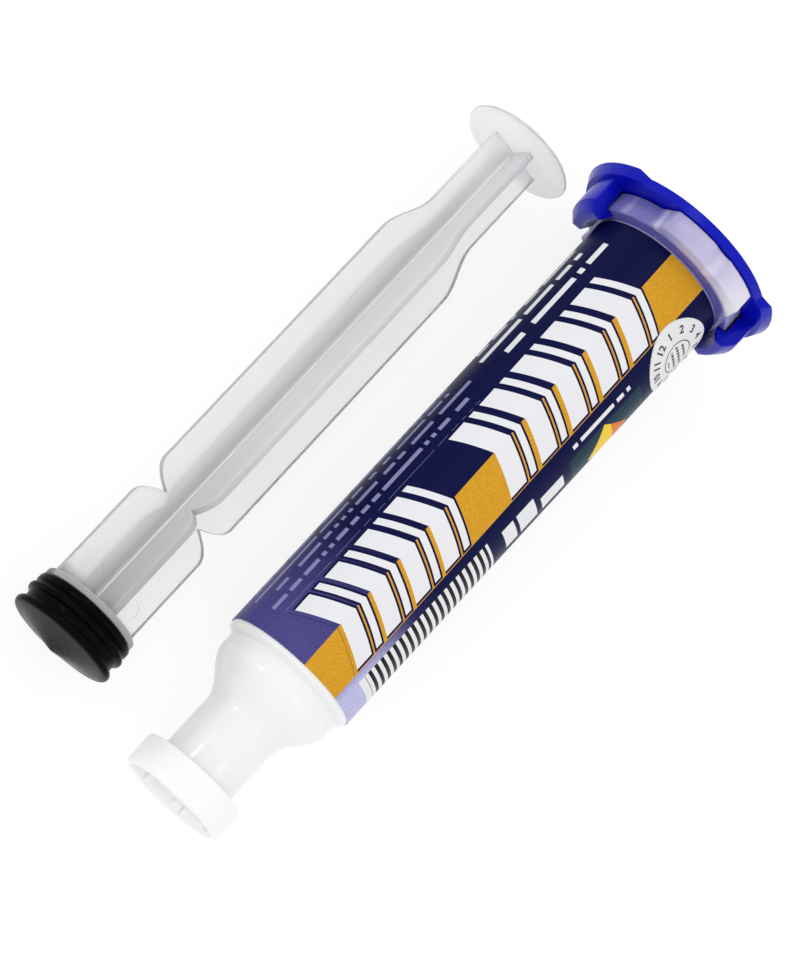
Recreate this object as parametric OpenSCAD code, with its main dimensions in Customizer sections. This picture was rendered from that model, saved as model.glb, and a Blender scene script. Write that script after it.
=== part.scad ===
// Flux syringe: a capped and labelled dispensing barrel with its plunger lying beside it.
// Everything lies on the floor plane z = 0, the tips towards -Y and the tails towards +Y.
// Each piece is drawn along its own axis (+Z from tip to tail) and then laid down.
// In that upright frame -Y is the side that faces up once the piece lies down.

/* [Barrel] */
// Outer radius of the barrel at the tip end of the label
barrel_tip_r = 8.84; // [8.6:0.02:9.1]
// Outer radius of the barrel at the flange
barrel_tail_r = 9.23; // [9.1:0.01:9.5]
// Radius of the bore that holds the paste
bore_r = 7.35; // [7:0.05:7.6]
// Outer radius of the smooth bulb in front of the label
bulb_r = 8; // [7.8:0.05:8.2]
// Outer radius of the lock collar at the tip
collar_r = 4.95; // [4.7:0.05:5.3]
// Inner radius of the lock collar
collar_inner_r = 3.75; // [3.7:0.05:3.9]
// Visible length of the lock collar
collar_len = 7.3; // [6.6:0.1:7.6]
// Length of the S-shaped shoulder between collar and bulb
shoulder_len = 6; // [5.6:0.1:6.4]
// Radius of the dispensing hole in the nozzle
nozzle_hole_r = 0.9; // [0.6:0.05:1.1]

/* [Flange] */
// Distance from the front of the tip cap to the flange
flange_z = 87.25; // [86:0.25:90]
// Thickness of the flange
flange_t = 3; // [2.6:0.1:3.4]
// Radius of the flange over its two ears
ear_r = 13; // [12.6:0.1:13.3]
// Radius of the flange between its ears
narrow_r = 10.8; // [10.7:0.05:10.9]
// Angle that each ear covers at full radius
ear_arc = 64; // [56:1:70]
// Angle of the ramp at each end of an ear
ear_ramp = 14; // [8:1:16]

/* [Tail cap] */
// Radius of the round disc of the tail cap
disc_r = 13.15; // [12.9:0.05:13.3]
// Thickness of the disc
disc_t = 1.25; // [1.1:0.05:1.8]
// Radius over the two finger tabs
tab_r = 14.4; // [14:0.1:15]
// Angle that each finger tab covers
tab_arc = 78; // [60:1:80]
// Angle that each hook covers
hook_arc = 38; // [28:1:44]
// Reach of the hooks in front of the flange
hook_drop = 1.8; // [1.5:0.1:2.4]

/* [Tip cap] */
// Radius of the head of the tip cap
head_r = 6.95; // [6.6:0.05:7.2]
// Length of the head of the tip cap
head_len = 4.15; // [4:0.05:4.25]
// Depth of the open cup in the front of the head
cup_depth = 1.4; // [1.2:0.1:2.2]
// Number of small ribs inside the cup
cup_ribs = 8; // [6:1:10]

/* [Plunger] */
// Radius of the thumb disc
thumb_r = 7.5; // [7.3:0.05:8.2]
// Radius of the four ribs of the rod
rib_r = 6.15; // [5.9:0.05:6.35]
// Radius of the ribs near the thumb disc
waist_r = 4; // [3.6:0.1:4.4]
// Thickness of the ribs
rib_t = 1; // [0.9:0.05:1.4]
// Depth of the break-off notches
notch_depth = 3.1; // [2.6:0.1:3.4]
// Radius of the rubber seal over its front rib
seal_r = 7; // [6.9:0.05:7.3]
// Length of rod and seal together
plunger_len = 84.65; // [84:0.05:90]
// Distance between the axes of barrel and plunger
plunger_gap = 21.85; // [21:0.05:30]

/* [Label] */
// Distance from the front of the tip cap to the label
label_z = 20.3; // [20:0.1:22]
// Length of the label
label_len = 66.5; // [60:0.5:66.5]
// Thickness of the label
label_t = 0.12; // [0.1:0.01:0.15]
// Radius of the round date sticker
sticker_r = 5; // [4:0.1:5.2]

/* [Hidden] */
$fn = 96;
tiny = 0.01;

milky = [0.93, 0.93, 0.94];
royal_blue = [0.07, 0.09, 0.8];
navy = [0.08, 0.09, 0.27];
white = [0.95, 0.95, 0.97];
paste = [0.86, 0.82, 0.7];
black = [0.04, 0.04, 0.04];

// Angles are counted from the top of the lying piece towards +X.
ear_mid = 5;
hook_mid = 86;
sticker_mid = 51;
sticker_z = 79.75;
rib_turn = 11.5;

collar_z = head_len + 0.1;
shoulder_z = collar_z + collar_len;
bulb_z = shoulder_z + shoulder_len;
step_z = 18.9;
floor_z = 12.4;
flange_end = flange_z + flange_t;
socket_floor_z = 10.85;
nozzle_tip_z = head_len - 0.75;
nozzle_tip_r = 1.97;
nozzle_root_r = 2.18;

cap_gap = 0.1;
disc_z = flange_end + cap_gap;
disc_end = disc_z + disc_t;
plug_r = bore_r - 0.08;
plug_len = 4.4;
well_r = 5.9;
leg_in_r = narrow_r + 0.3;
leg_out_r = 13;
hook_tip_r = 9.75;
tab_slant = 0.7;

stem_r = 3.35;
stem_bore_r = 2.55;
stem_len = 5.9;
stem_floor_z = 3;
cup_r = 6.05;
head_edge = 0.35;

seal_tip_z = 0.65;
seal_rib_z = 2.6;
rear_rib_z = 4.75;
seal_len = 6.6;
end_disc_r = 6.5;
end_disc_t = 0.85;
thumb_t = 1.1;
flare_start = 19.5;
flare_end = 12;
notch_z = 23;
notch_half = 3;

// The barrel rests on the front edge of its label and on an ear of its flange.
label_edge_r = wall_r(label_z) + tiny + label_t;
rise = atan((ear_r - label_edge_r) / (flange_z - label_z));
rest_h = label_edge_r * cos(rise) - label_z * sin(rise);
thumb_end = seal_tip_z + plunger_len;
thumb_z = thumb_end - thumb_t;
plunger_rise = atan((thumb_r - seal_r) / (thumb_z - seal_rib_z));
plunger_h = seal_r * cos(plunger_rise) - seal_rib_z * sin(plunger_rise);
plunger_y = 2.05;
mid_x = (tab_r - plunger_gap - thumb_r) / 2;
front_reach = (head_r - head_edge - 0.05) * sin(rise);
back_reach = disc_end * cos(rise) + disc_r * sin(rise);
mid_y = (back_reach - front_reach) / 2;

function around(r, turn) = [r * sin(turn), -r * cos(turn)];
function ease(t) = (1 - cos(180 * t)) / 2;
function s_curve(r0, r1, z0, z1, steps) =
    [for (i = [0:steps]) [r0 + (r1 - r0) * ease(i / steps), z0 + (z1 - z0) * i / steps]];
function wall_r(z) =
    barrel_tip_r + (barrel_tail_r - barrel_tip_r) * (z - step_z) / (flange_z - step_z);

// Lays a piece down: its own +Z comes to point along +Y, with the tail raised a little.
module lie_down(x, y, height, slope) {
    translate([x - mid_x, y - mid_y, height])
        rotate([slope - 90, 0, 0])
            children();
}

module lie_syringe() {
    lie_down(0, 0, rest_h, rise)
        children();
}

module lie_plunger() {
    lie_down(-plunger_gap, plunger_y, plunger_h, plunger_rise)
        children();
}

// Turns a piece drawn towards +X to the given angle around the axis.
module turned(turn) {
    rotate([0, 0, turn - 90])
        children();
}

// Outline of one pair of ears with ramps at their ends.
module ear_outline(r_small, r_big) {
    half = ear_arc / 2;
    foot = half + ear_ramp;
    intersection() {
        circle(r = r_big);
        for (side = [0, 180])
            polygon([[0, 0],
                around(r_small, ear_mid + side - foot),
                around(r_big, ear_mid + side - half),
                around(r_big * 1.4, ear_mid + side - half * 0.8),
                around(r_big * 1.4, ear_mid + side + half * 0.8),
                around(r_big, ear_mid + side + half),
                around(r_small, ear_mid + side + foot)]);
    }
}

module flange_outline() {
    scallop_r = 4;
    difference() {
        union() {
            circle(r = narrow_r);
            ear_outline(narrow_r - 0.1, ear_r);
        }
        for (side = [0, 180])
            translate(around(ear_r + scallop_r - 0.3, ear_mid + side))
                circle(r = scallop_r, $fn = 48);
    }
}

// The whole turned profile: collar, shoulder, bulb and wall outside, bore and nozzle inside.
function barrel_profile() = concat(
    [[collar_inner_r, collar_z], [collar_r - 0.2, collar_z], [collar_r, collar_z + 0.25]],
    s_curve(collar_r, bulb_r, shoulder_z, bulb_z, 14),
    s_curve(bulb_r, barrel_tip_r, step_z + 0.2, step_z + 1, 6),
    [[barrel_tail_r, flange_z], [barrel_tail_r, flange_end], [bore_r, flange_end]],
    s_curve(bore_r, nozzle_hole_r, step_z + 1.2, floor_z, 14),
    [[nozzle_hole_r, nozzle_tip_z], [nozzle_tip_r, nozzle_tip_z],
     [nozzle_root_r, socket_floor_z], [collar_inner_r, socket_floor_z]]);

module barrel() {
    color(milky) {
        rotate_extrude()
            polygon(barrel_profile());
        translate([0, 0, flange_z])
            linear_extrude(height = flange_t)
                difference() {
                    flange_outline();
                    circle(r = bore_r + 0.6);
                }
    }
}

// A thin sleeve that follows the taper of the barrel.
module sleeve(start, length, lift, thick) {
    r0 = wall_r(start) + lift;
    r1 = wall_r(start + length) + lift;
    rotate_extrude()
        polygon([[r0, start], [r0 + thick, start],
                 [r1 + thick, start + length], [r1, start + length]]);
}

module label() {
    color(navy)
        sleeve(label_z, label_len, tiny, label_t);
}

module date_sticker() {
    color(white)
        intersection() {
            sleeve(sticker_z - sticker_r - 1, sticker_r * 2 + 2, label_t + tiny * 2, 0.1);
            turned(sticker_mid)
                translate([0, 0, sticker_z])
                    rotate([0, 90, 0])
                        cylinder(r = sticker_r, h = 20);
        }
}

module flux_paste() {
    fill_r = bore_r - 0.03;
    fill_end = disc_z - plug_len - 0.6;
    color(paste)
        rotate_extrude()
            polygon(concat(
                [[0, floor_z + 0.6]],
                s_curve(nozzle_hole_r, fill_r, floor_z + 0.6, step_z + 1.6, 14),
                [[fill_r, fill_end], [0, fill_end]]));
}

// One hook: a leg beside the flange with a wedge-shaped foot that grips under it.
module hook() {
    foot_top = flange_z - cap_gap;
    low = flange_z - hook_drop;
    rotate([0, 0, -hook_arc / 2])
        rotate_extrude(angle = hook_arc)
            polygon([[leg_in_r, disc_z + tiny], [leg_in_r, foot_top], [hook_tip_r, foot_top],
                     [hook_tip_r + 0.2, foot_top - 0.5], [10.7, low], [11.9, low],
                     [leg_out_r, low + 1.3], [leg_out_r + 0.1, disc_z + tiny]]);
}

// One finger tab on the rim of the disc, with straight shoulders and a slanted rim.
module finger_tab() {
    half = tab_arc / 2;
    intersection() {
        cylinder(r1 = tab_r - tab_slant, r2 = tab_r, h = disc_t);
        linear_extrude(height = disc_t)
            polygon([around(11, 90 - half),
                around(disc_r - 0.2, 90 - half - 4),
                around(tab_r, 90 - half + 2),
                around(tab_r * 1.4, 90 - half * 0.7),
                around(tab_r * 1.4, 90 + half * 0.7),
                around(tab_r, 90 + half - 2),
                around(disc_r - 0.2, 90 + half + 4),
                around(11, 90 + half)]);
    }
}

module tail_cap() {
    color(royal_blue)
        difference() {
            union() {
                translate([0, 0, disc_z])
                    cylinder(r = disc_r, h = disc_t);
                for (side = [0, 180])
                    turned(hook_mid + side) {
                        translate([0, 0, disc_z])
                            finger_tab();
                        hook();
                    }
                translate([0, 0, disc_z - plug_len])
                    cylinder(r = plug_r, h = plug_len + tiny);
            }
            translate([0, 0, disc_z - plug_len + 1.2])
                cylinder(r = well_r, h = plug_len + disc_t);
        }
}

module tip_cap() {
    rib_w = 1.3;
    color(milky) {
        difference() {
            union() {
                rotate_extrude()
                    polygon([[0, 0], [head_r - head_edge - 0.05, 0], [head_r - 0.05, head_edge],
                             [head_r, head_len - 0.25], [head_r - 0.25, head_len], [0, head_len]]);
                translate([0, 0, head_len - 1])
                    cylinder(r = stem_r, h = stem_len + 1);
            }
            translate([0, 0, -tiny])
                cylinder(r = cup_r, h = cup_depth);
            translate([0, 0, stem_floor_z])
                cylinder(r = stem_bore_r, h = head_len + stem_len);
        }
        for (i = [0:cup_ribs - 1])
            rotate([0, 0, (i + 0.5) * 360 / cup_ribs])
                translate([cup_r - 0.6, -rib_w / 2, head_edge])
                    cube([1, rib_w, cup_depth - head_edge + 0.3]);
    }
}

// Half outline of a rib of the rod, with a narrow waist and a notch with rounded corners.
function rib_side(z0, z1) = concat(
    [[0, z0], [rib_r, z0]],
    notch_side(),
    s_curve(rib_r, waist_r, z1 - flare_start, z1 - flare_end, 12),
    [[waist_r, z1], [0, z1]]);
function notch_side() =
    [for (i = [0:16])
        let (t = i / 8 - 1)
        [rib_r - notch_depth * pow(1 - abs(t), 2.3), notch_z + notch_half * t]];

module plunger_rod() {
    start = seal_len + end_disc_t - tiny;
    color(milky) {
        for (turn = [0:90:270])
            turned(rib_turn + turn)
                rotate([90, 0, 0])
                    translate([0, 0, -rib_t / 2])
                        linear_extrude(height = rib_t)
                            polygon(rib_side(start, thumb_z + tiny));
        translate([0, 0, seal_len])
            cylinder(r = end_disc_r, h = end_disc_t);
        translate([0, 0, 3.2])
            cylinder(r = 3, h = seal_len - 3.2 + tiny);
        rotate_extrude()
            polygon([[0, thumb_z], [waist_r + 0.4, thumb_z], [thumb_r - 0.25, thumb_z + 0.5],
                     [thumb_r, thumb_z + 0.65], [thumb_r, thumb_z + 0.8],
                     [thumb_r - 0.35, thumb_z + 0.95], [thumb_r * 0.6, thumb_z + 1.06],
                     [0, thumb_end]]);
    }
}

// Rubber seal with a shallow cone in front, two ribs and a rear band.
module plunger_seal() {
    groove_r = seal_r - 0.55;
    band_r = seal_r - 0.28;
    color(black)
        rotate_extrude()
            difference() {
                union() {
                    polygon([[0, seal_tip_z], [groove_r, 2.15], [groove_r, 5.45],
                             [band_r, 5.65], [band_r, seal_len - 0.3],
                             [band_r - 0.22, seal_len - 0.05], [0, seal_len - 0.05]]);
                    translate([groove_r, seal_rib_z])
                        circle(r = 0.55, $fn = 32);
                    translate([groove_r, rear_rib_z])
                        circle(r = 0.5, $fn = 32);
                }
                translate([-tiny, 3.17])
                    square([3.03 + tiny, seal_len]);
            }
}

lie_syringe() barrel();
lie_syringe() label();
lie_syringe() date_sticker();
lie_syringe() flux_paste();
lie_syringe() tail_cap();
lie_syringe() tip_cap();
lie_plunger() plunger_rod();
lie_plunger() plunger_seal();
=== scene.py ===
"""Flux syringe: the looks of a capped, labelled barrel and of the plunger that lies beside it.

Every piece is drawn in millimetres along its own axis, with +Z from tip to tail and -Y as the side
that faces up. It is then laid down in the shared frame, in metres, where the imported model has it.
"""

import logging
import math
from dataclasses import dataclass
from enum import Enum
from functools import reduce
from typing import Iterable, Mapping, Sequence, Union

import bpy
from mathutils import Matrix, Vector


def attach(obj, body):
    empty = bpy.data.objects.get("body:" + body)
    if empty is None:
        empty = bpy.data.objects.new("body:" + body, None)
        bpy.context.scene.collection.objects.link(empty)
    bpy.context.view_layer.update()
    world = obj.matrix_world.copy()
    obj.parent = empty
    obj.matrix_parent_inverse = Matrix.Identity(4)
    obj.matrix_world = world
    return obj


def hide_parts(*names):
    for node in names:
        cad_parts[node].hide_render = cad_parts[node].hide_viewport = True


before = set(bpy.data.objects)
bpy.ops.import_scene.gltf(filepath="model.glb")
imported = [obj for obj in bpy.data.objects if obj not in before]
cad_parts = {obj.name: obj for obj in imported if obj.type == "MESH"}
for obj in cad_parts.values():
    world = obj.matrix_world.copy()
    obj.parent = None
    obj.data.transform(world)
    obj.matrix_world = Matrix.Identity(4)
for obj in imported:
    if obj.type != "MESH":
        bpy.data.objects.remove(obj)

LOG = logging.getLogger("flux_syringe")
MM = 0.001
SPIN_STEPS = 144
MERGE = 0.001
SIDES = (0.0, 180.0)
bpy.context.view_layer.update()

Point = tuple[float, float]
Span = tuple[float, float]
Colour = tuple[float, float, float]
Place = tuple[float, float, float]
Grain = tuple[float, float, float]
Piece = bpy.types.Object


class Edge(Enum):
    """How far the edges of a moulded piece are rounded, in millimetres."""

    FINE = 0.08
    SOFT = 0.16
    ROUND = 0.3


class Boolean(Enum):
    """How two solids become one."""

    UNION = "UNION"
    DIFFERENCE = "DIFFERENCE"
    INTERSECT = "INTERSECT"


def around(radius: float, turn: float) -> Point:
    """Returns the point at a radius and an angle in degrees, counted from the top towards +X."""
    angle = math.radians(turn)
    return (radius * math.sin(angle), -radius * math.cos(angle))


def arc(radius: float, start: float, end: float, steps: int) -> list[Point]:
    """Returns evenly spaced points on a circle around the axis, both ends among them."""
    return [around(radius, start + (end - start) * i / steps) for i in range(steps + 1)]


def s_curve(r0: float, r1: float, z0: float, z1: float, steps: int) -> list[Point]:
    """Returns a soft S-shaped profile from one radius to another.

    Args:
        r0: Radius at the start.
        r1: Radius at the end.
        z0: Place of the start along the axis.
        z1: Place of the end along the axis.
        steps: Number of steps.

    Returns:
        The profile as points of radius and place along the axis.
    """
    points = []
    for i in range(steps + 1):
        share = (1 - math.cos(math.pi * i / steps)) / 2
        points.append((r0 + (r1 - r0) * share, z0 + (z1 - z0) * i / steps))
    return points


@dataclass(frozen=True)
class LaidAxis:
    """Where the axis of a sub-assembly lies, in millimetres and degrees."""

    side: float
    along: float
    height: float
    slope: float

    def matrix(self) -> Matrix:
        """Returns the matrix that lays a piece down and brings it to metres."""
        place = Matrix.Translation(Vector((self.side, self.along, self.height)) * MM)
        turn = Matrix.Rotation(math.radians(self.slope - 90), 4, "X")
        return place @ turn @ Matrix.Scale(MM, 4)

    def start(self) -> Vector:
        """Returns the point where the axis starts, in metres."""
        return self.matrix().translation

    def direction(self) -> Vector:
        """Returns the unit vector from tip to tail."""
        return (self.matrix().to_3x3() @ Vector((0, 0, 1))).normalized()

    def upward(self) -> Vector:
        """Returns the unit vector of the side that faces up."""
        return (self.matrix().to_3x3() @ Vector((0, -1, 0))).normalized()


@dataclass(frozen=True)
class Sizes:
    """The sizes that several sub-assemblies share, in millimetres."""

    barrel_tip_r: float = 8.84
    barrel_tail_r: float = 9.23
    bore_r: float = 7.35
    step_z: float = 18.9
    flange_z: float = 87.25
    flange_t: float = 3.0
    ear_r: float = 13.0
    cap_gap: float = 0.1
    head_len: float = 4.15
    label_z: float = 20.3
    label_len: float = 66.5
    label_t: float = 0.12
    label_lift: float = 0.01
    plunger_gap: float = 21.85
    plunger_y: float = 2.05
    seal_r: float = 7.0
    seal_rib_z: float = 2.6
    thumb_r: float = 7.5
    thumb_z: float = 84.2
    middle_x: float = -7.475
    middle_y: float = 45.915467

    def wall_r(self, z: float) -> float:
        """Returns the outer radius of the tapered wall at a place along the axis."""
        share = (z - self.step_z) / (self.flange_z - self.step_z)
        return self.barrel_tip_r + (self.barrel_tail_r - self.barrel_tip_r) * share

    def label_r(self, z: float) -> float:
        """Returns the outer radius of the label at a place along the axis."""
        return self.wall_r(z) + self.label_lift + self.label_t

    def disc_z(self) -> float:
        """Returns where the disc of the tail cap starts."""
        return self.flange_z + self.flange_t + self.cap_gap

    def syringe_axis(self) -> LaidAxis:
        """Returns the axis of the barrel, which rests on its label's edge and on an ear."""
        edge_r = self.label_r(self.label_z)
        rise = math.atan((self.ear_r - edge_r) / (self.flange_z - self.label_z))
        height = edge_r * math.cos(rise) - self.label_z * math.sin(rise)
        return LaidAxis(-self.middle_x, -self.middle_y, height, math.degrees(rise))

    def plunger_axis(self) -> LaidAxis:
        """Returns the axis of the plunger, which rests on its seal and its thumb disc."""
        rise = math.atan((self.thumb_r - self.seal_r) / (self.thumb_z - self.seal_rib_z))
        height = self.seal_r * math.cos(rise) - self.seal_rib_z * math.sin(rise)
        side = -self.middle_x - self.plunger_gap
        return LaidAxis(side, self.plunger_y - self.middle_y, height, math.degrees(rise))


class Bench:
    """Models pieces with Blender's own operators, in millimetres."""

    @staticmethod
    def deselect() -> None:
        """Leaves edit mode and deselects everything."""
        if bpy.context.mode != "OBJECT":
            bpy.ops.object.mode_set(mode="OBJECT")
        bpy.ops.object.select_all(action="DESELECT")

    @staticmethod
    def focus(piece: Piece) -> None:
        """Selects one piece alone and makes it active.

        Args:
            piece: The piece to work on.
        """
        Bench.deselect()
        piece.select_set(True)
        bpy.context.view_layer.objects.active = piece

    @staticmethod
    def edit(piece: Piece) -> None:
        """Opens a piece in edit mode with all of it selected.

        Args:
            piece: The piece to work on.
        """
        Bench.focus(piece)
        bpy.ops.object.mode_set(mode="EDIT")
        bpy.ops.mesh.select_all(action="SELECT")

    @staticmethod
    def merge(threshold: float = MERGE) -> None:
        """Merges the corners of the open piece that lie together, and keeps all selected."""
        bpy.ops.mesh.remove_doubles(threshold=threshold)
        bpy.ops.mesh.select_all(action="SELECT")

    @staticmethod
    def close() -> None:
        """Points all faces of the open piece outwards and leaves edit mode."""
        bpy.ops.mesh.select_all(action="SELECT")
        bpy.ops.mesh.normals_make_consistent(inside=False)
        bpy.ops.object.mode_set(mode="OBJECT")

    @staticmethod
    def trace(points: Sequence[Vector]) -> Piece:
        """Draws a chain of edges by extruding one vertex from point to point.

        Args:
            points: The corners in order.

        Returns:
            The chain as a new object, open in edit mode with all of it selected.
        """
        Bench.deselect()
        bpy.ops.mesh.primitive_plane_add(size=1, location=(0, 0, 0))
        piece = bpy.context.object
        Bench.edit(piece)
        bpy.ops.mesh.merge(type="CENTER")
        bpy.ops.transform.translate(value=points[0])
        for start, end in zip(points, points[1:]):
            bpy.ops.mesh.extrude_region_move(TRANSFORM_OT_translate={"value": end - start})
        Bench.edit(piece)
        return piece

    @staticmethod
    def spin(profile: Sequence[Point], closed: bool = True, turn: float = 360.0,
             steps: int = SPIN_STEPS) -> Piece:
        """Turns a profile round the axis into a closed solid.

        Args:
            profile: Points of radius and place along the axis.
            closed: Whether the profile is a ring clear of the axis.
            turn: Angle to turn through, in degrees.
            steps: Number of steps round the axis.

        Returns:
            The turned solid.
        """
        ring = list(profile) + ([profile[0]] if closed else [])
        piece = Bench.trace([Vector((radius, 0, z)) for radius, z in ring])
        Bench.merge()
        bpy.ops.mesh.spin(steps=steps, angle=math.radians(turn), center=(0, 0, 0),
                          axis=(0, 0, 1))
        bpy.ops.mesh.select_all(action="SELECT")
        Bench.merge()
        bpy.ops.mesh.fill_holes(sides=0)
        Bench.close()
        return piece

    @staticmethod
    def plate(outline: Sequence[Point], low: float, high: float) -> Piece:
        """Extrudes a flat outline along the axis.

        Args:
            outline: The corners across the axis, in order.
            low: Where the plate starts.
            high: Where the plate ends.

        Returns:
            The plate.
        """
        piece = Bench.trace([Vector((x, y, low)) for x, y in outline])
        bpy.ops.mesh.edge_face_add()
        thickness = {"value": (0, 0, high - low)}
        bpy.ops.mesh.extrude_region_move(TRANSFORM_OT_translate=thickness)
        Bench.close()
        return piece

    @staticmethod
    def cylinder(radius: float, low: float, high: float) -> Piece:
        """Adds a plain cylinder as a tool for cutting or joining.

        Args:
            radius: Its radius.
            low: Where it starts along the axis.
            high: Where it ends along the axis.

        Returns:
            The cylinder.
        """
        Bench.deselect()
        bpy.ops.mesh.primitive_cylinder_add(vertices=SPIN_STEPS, radius=radius, depth=high - low,
                                            location=(0, 0, (low + high) / 2))
        return Bench.bake_place(bpy.context.object)

    @staticmethod
    def bake_place(piece: Piece) -> Piece:
        """Moves an object's place, turn and scale into its mesh.

        Args:
            piece: The piece.

        Returns:
            The same piece.
        """
        Bench.focus(piece)
        bpy.ops.object.transform_apply(location=True, rotation=True, scale=True)
        return piece

    @staticmethod
    def move(piece: Piece, matrix: Matrix) -> Piece:
        """Moves a piece by a matrix and keeps its object at the origin.

        Args:
            piece: The piece.
            matrix: The move.

        Returns:
            The same piece.
        """
        piece.matrix_world = matrix
        return Bench.bake_place(piece)

    @staticmethod
    def shift(piece: Piece, x: float, y: float, z: float) -> Piece:
        """Returns the piece after a move by three lengths."""
        return Bench.move(piece, Matrix.Translation((x, y, z)))

    @staticmethod
    def rotate(piece: Piece, angle: float, axis: str = "Z") -> Piece:
        """Returns the piece after a turn by an angle in degrees round one of the three axes."""
        return Bench.move(piece, Matrix.Rotation(math.radians(angle), 4, axis))

    @staticmethod
    def turn(piece: Piece, angle: float) -> Piece:
        """Turns a piece drawn towards +X to an angle in degrees, counted from the top."""
        return Bench.rotate(piece, angle - 90)

    @staticmethod
    def round_edges(piece: Piece, edge: Edge, segments: int = 3,
                    sharper_than: float = 24.0) -> Piece:
        """Rounds the sharp edges of a piece.

        Args:
            piece: The piece.
            edge: How far the edges are rounded.
            segments: Number of faces across the rounding.
            sharper_than: Angle in degrees from which an edge counts as sharp.

        Returns:
            The same piece.
        """
        Bench.focus(piece)
        bevel = piece.modifiers.new("edge", "BEVEL")
        bevel.width = edge.value
        bevel.segments = segments
        bevel.limit_method = "ANGLE"
        bevel.angle_limit = math.radians(sharper_than)
        bpy.ops.object.modifier_apply(modifier=bevel.name)
        return piece

    @staticmethod
    def combine(piece: Piece, how: Boolean,
                others: Iterable[Piece]) -> Piece:
        """Unites, cuts or intersects a piece with others and removes those.

        Args:
            piece: The piece that stays.
            how: What is done.
            others: The pieces that go.

        Returns:
            The piece that stays.
        """
        for other in others:
            Bench.focus(piece)
            step = piece.modifiers.new("join", "BOOLEAN")
            step.operation = how.value
            step.solver = "EXACT"
            step.object = other
            bpy.ops.object.modifier_apply(modifier=step.name)
            bpy.data.objects.remove(other)
        return piece

    @staticmethod
    def join(pieces: Sequence[Piece]) -> Piece:
        """Joins pieces that don't touch into one object.

        Args:
            pieces: The pieces.

        Returns:
            The joined piece.
        """
        Bench.focus(pieces[0])
        for piece in pieces:
            piece.select_set(True)
        bpy.ops.object.join()
        return bpy.context.object


class Signal:
    """A value inside a material. Arithmetic on it adds the nodes that work the result out."""

    def __init__(self, desk: "Desk", socket: bpy.types.NodeSocket) -> None:
        """Keeps the desk and the output of the node that gives the value."""
        self.desk = desk
        self.socket = socket

    def do(self, operation: str, *others: "Value") -> "Signal":
        """Returns the result of one of Blender's number operations, named as there."""
        return self.desk.node("Math", dict(enumerate((self, *others))), operation=operation)

    def __add__(self, other: "Value") -> "Signal":
        """Returns the sum."""
        return self.do("ADD", other)

    def __sub__(self, other: "Value") -> "Signal":
        """Returns the difference."""
        return self.do("SUBTRACT", other)

    def __rsub__(self, other: float) -> "Signal":
        """Returns a constant less the value."""
        return self.do("MULTIPLY_ADD", -1.0, other)

    def __mul__(self, other: "Value") -> "Signal":
        """Returns the product."""
        return self.do("MULTIPLY", other)

    def __truediv__(self, other: float) -> "Signal":
        """Returns the quotient."""
        return self.do("DIVIDE", other)

    def __abs__(self) -> "Signal":
        """Returns the value without its sign."""
        return self.do("ABSOLUTE")

    def __lt__(self, limit: float) -> "Signal":
        """Returns 1 where the value is below a limit, and 0 elsewhere."""
        return self.do("LESS_THAN", limit)

    def __gt__(self, limit: float) -> "Signal":
        """Returns 1 where the value is above a limit, and 0 elsewhere."""
        return self.do("GREATER_THAN", limit)

    def max(self, other: "Signal") -> "Signal":
        """Returns the larger of two values."""
        return self.do("MAXIMUM", other)

    def min(self, other: "Signal") -> "Signal":
        """Returns the smaller of two values."""
        return self.do("MINIMUM", other)

    def hypot(self, other: "Signal") -> "Signal":
        """Returns the length of the diagonal over two values."""
        return (self * self + other * other).do("SQRT")

    def beyond(self, low: float, high: float) -> "Signal":
        """Returns how far outside a strip the value lies, negative inside."""
        return abs(self - (low + high) / 2) - (high - low) / 2

    def ramp(self, low: float, high: float) -> "Signal":
        """Returns a share that grows softly from 0 at low to 1 at high."""
        ends = {"Value": self, "From Min": low, "From Max": high}
        return self.desk.node("MapRange", ends, "Result", interpolation_type="SMOOTHSTEP")

    def spread(self, low: float, high: float) -> "Signal":
        """Returns noise, which lies mostly between 0.3 and 0.7, brought to a range."""
        ends = {"From Min": 0.3, "From Max": 0.7, "To Min": low, "To Max": high}
        return self.desk.node("MapRange", {"Value": self, **ends}, "Result")

    def mix(self, first: "Paint", second: "Paint") -> "Signal":
        """Returns the first colour where this share is 0 and the second where it is 1."""
        return self.desk.node("Mix", {0: self, 6: first, 7: second}, 2, data_type="RGBA")


Value = Union[float, Signal]
Paint = Union[Colour, Signal]
Input = Union[float, Colour, Vector, Signal]


class Desk:
    """Lays out the nodes of one material."""

    def __init__(self, name: str) -> None:
        """Starts an empty material.

        Args:
            name: Name of the material.
        """
        self.material = bpy.data.materials.new(name)
        self.material.use_nodes = True
        self.tree = self.material.node_tree
        self.tree.nodes.clear()
        self.output = self.tree.nodes.new("ShaderNodeOutputMaterial")

    def feed(self, socket: bpy.types.NodeSocket, value: Input) -> None:
        """Links an input or sets it to a constant.

        Args:
            socket: The input.
            value: The signal or the constant.
        """
        if isinstance(value, Signal):
            self.tree.links.new(value.socket, socket)
        elif isinstance(value, tuple) and len(socket.default_value) == 4:
            socket.default_value = (*value, 1.0)
        else:
            socket.default_value = value

    def node(self, kind: str, inputs: Mapping[Union[int, str], Input],
             output: Union[int, str] = 0, **settings: Union[str, bool]) -> Signal:
        """Adds a node.

        Args:
            kind: Blender's name of it, without its first part.
            inputs: What goes into it, by name or number of the input.
            output: The output to use, by name or number.
            settings: The node's own settings.

        Returns:
            The output.
        """
        node = self.tree.nodes.new("ShaderNode" + kind)
        for name, value in settings.items():
            setattr(node, name, value)
        for key, value in inputs.items():
            self.feed(node.inputs[key], value)
        return Signal(self, node.outputs[output])


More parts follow.
